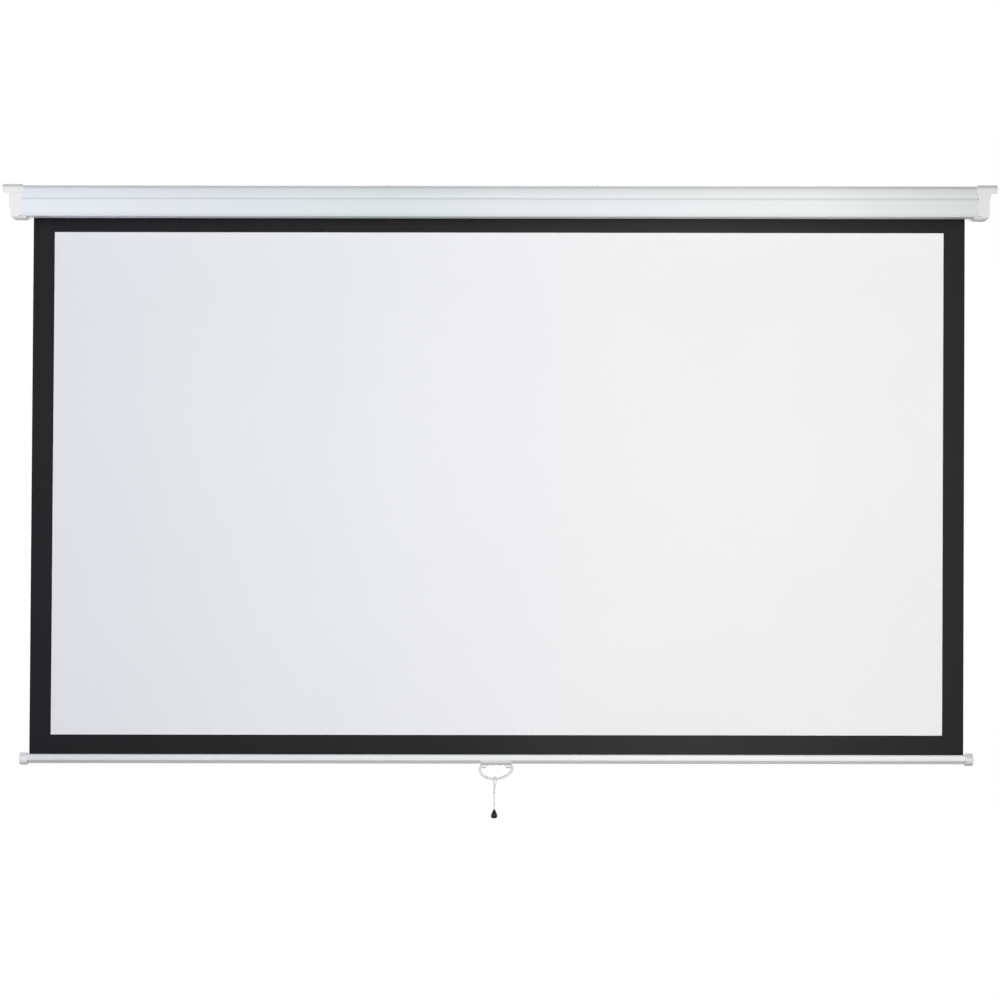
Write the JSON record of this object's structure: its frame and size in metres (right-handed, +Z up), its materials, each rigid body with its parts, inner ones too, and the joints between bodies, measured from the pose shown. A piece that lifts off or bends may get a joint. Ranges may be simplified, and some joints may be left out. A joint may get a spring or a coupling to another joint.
{
  "type": "pull down projector screen",
  "caption": "Wide pull down projector screen with a spring roller in a white wall casing, a black bordered white picture field, a round capped weight bar and a wire handle with a pull cord.",
  "frame": {"origin": "middle of the casing's flat back, on the wall plane", "axes": "+Z up, +X along the casing towards the right-hand end as the viewer sees it, the front faces -Y and the back lies in the plane y = 0"},
  "size_m": [2.452, 0.083, 1.5706],
  "materials": {
    "casing_enamel": "satin",
    "white_moulding": "satin",
    "bar_enamel": "satin",
    "black_cloth": "matte",
    "white_cloth": "matte",
    "plated_steel": "satin",
    "zinc_sheet": "satin",
    "spring_steel": "satin",
    "nylon": "satin",
    "black_nylon": "satin",
    "cast_zinc": "matte",
    "white_cord": "matte",
    "gloss_black": "gloss"
  },
  "bodies": {
    "casing": {"case_shell": "casing_enamel", "top_stiffener": "zinc_sheet", "top_rivet_left": "plated_steel", "top_rivet_right": "plated_steel", "end_cap_left": "white_moulding", "end_cap_right": "white_moulding", "cap_screw_left_upper": "plated_steel", "cap_screw_left_lower": "plated_steel", "cap_screw_right_upper": "plated_steel", "cap_screw_right_lower": "plated_steel", "roller_bracket_left": "zinc_sheet", "roller_bracket_right": "zinc_sheet", "spring_arbor": "plated_steel", "ratchet_wheel": "cast_zinc", "spring_anchor": "cast_zinc", "torsion_spring": "spring_steel", "idler_pin": "plated_steel", "screen_backing": "black_cloth", "screen_face": "white_cloth"},
    "bar": {"weight_bar": "bar_enamel", "hem_rod": "plated_steel", "bar_cap_left": "white_moulding", "bar_cap_right": "white_moulding", "handle_saddle": "white_moulding", "saddle_screw_left": "plated_steel", "saddle_screw_right": "plated_steel"},
    "roller": {"roller_tube": "zinc_sheet", "screen_wraps": "black_cloth", "pawl_carrier": "nylon", "idler_plug": "nylon", "idler_bush": "black_nylon", "spring_driver": "nylon"},
    "handle": {"pull_handle": "white_moulding"},
    "cord": {"pull_cord": "white_cord", "cord_pull": "gloss_black"},
    "upper_catch": {"pawl_upper": "cast_zinc"},
    "lower_catch": {"pawl_lower": "cast_zinc"}
  },
  "joints": [
    {"name": "bar_pull", "type": "slide", "parent": "casing", "child": "bar", "axis": [0, 0, 1], "range_m": [0, 1.31601], "deforming": ["screen_backing", "screen_face"]},
    {"name": "roller_turn", "type": "hinge", "parent": "casing", "child": "roller", "pos_m": [0, -0.04, 0.003], "axis": [1, 0, 0], "continuous": true},
    {"name": "handle_swing", "type": "hinge", "parent": "bar", "child": "handle", "pos_m": [-0.008, -0.0187, -1.3976], "axis": [-1, 0, 0], "range_deg": [-80, 80]},
    {"name": "cord_swing", "type": "hinge", "parent": "handle", "child": "cord", "pos_m": [-0.013, -0.0187, -1.4286], "axis": [-1, 0, 0], "range_deg": [-45, 45]},
    {"name": "upper_catch_drop", "type": "hinge", "parent": "roller", "child": "upper_catch", "pos_m": [-1.18255, -0.04, 0.0166], "axis": [1, 0, 0], "range_deg": [0, 17.2]},
    {"name": "lower_catch_drop", "type": "hinge", "parent": "roller", "child": "lower_catch", "pos_m": [-1.18255, -0.04, -0.0106], "axis": [1, 0, 0], "range_deg": [0, 17.2]}
  ],
  "couplings": [
    {"joint": "roller_turn", "follows": "bar_pull", "rad_per_m": 46.948}
  ]
}
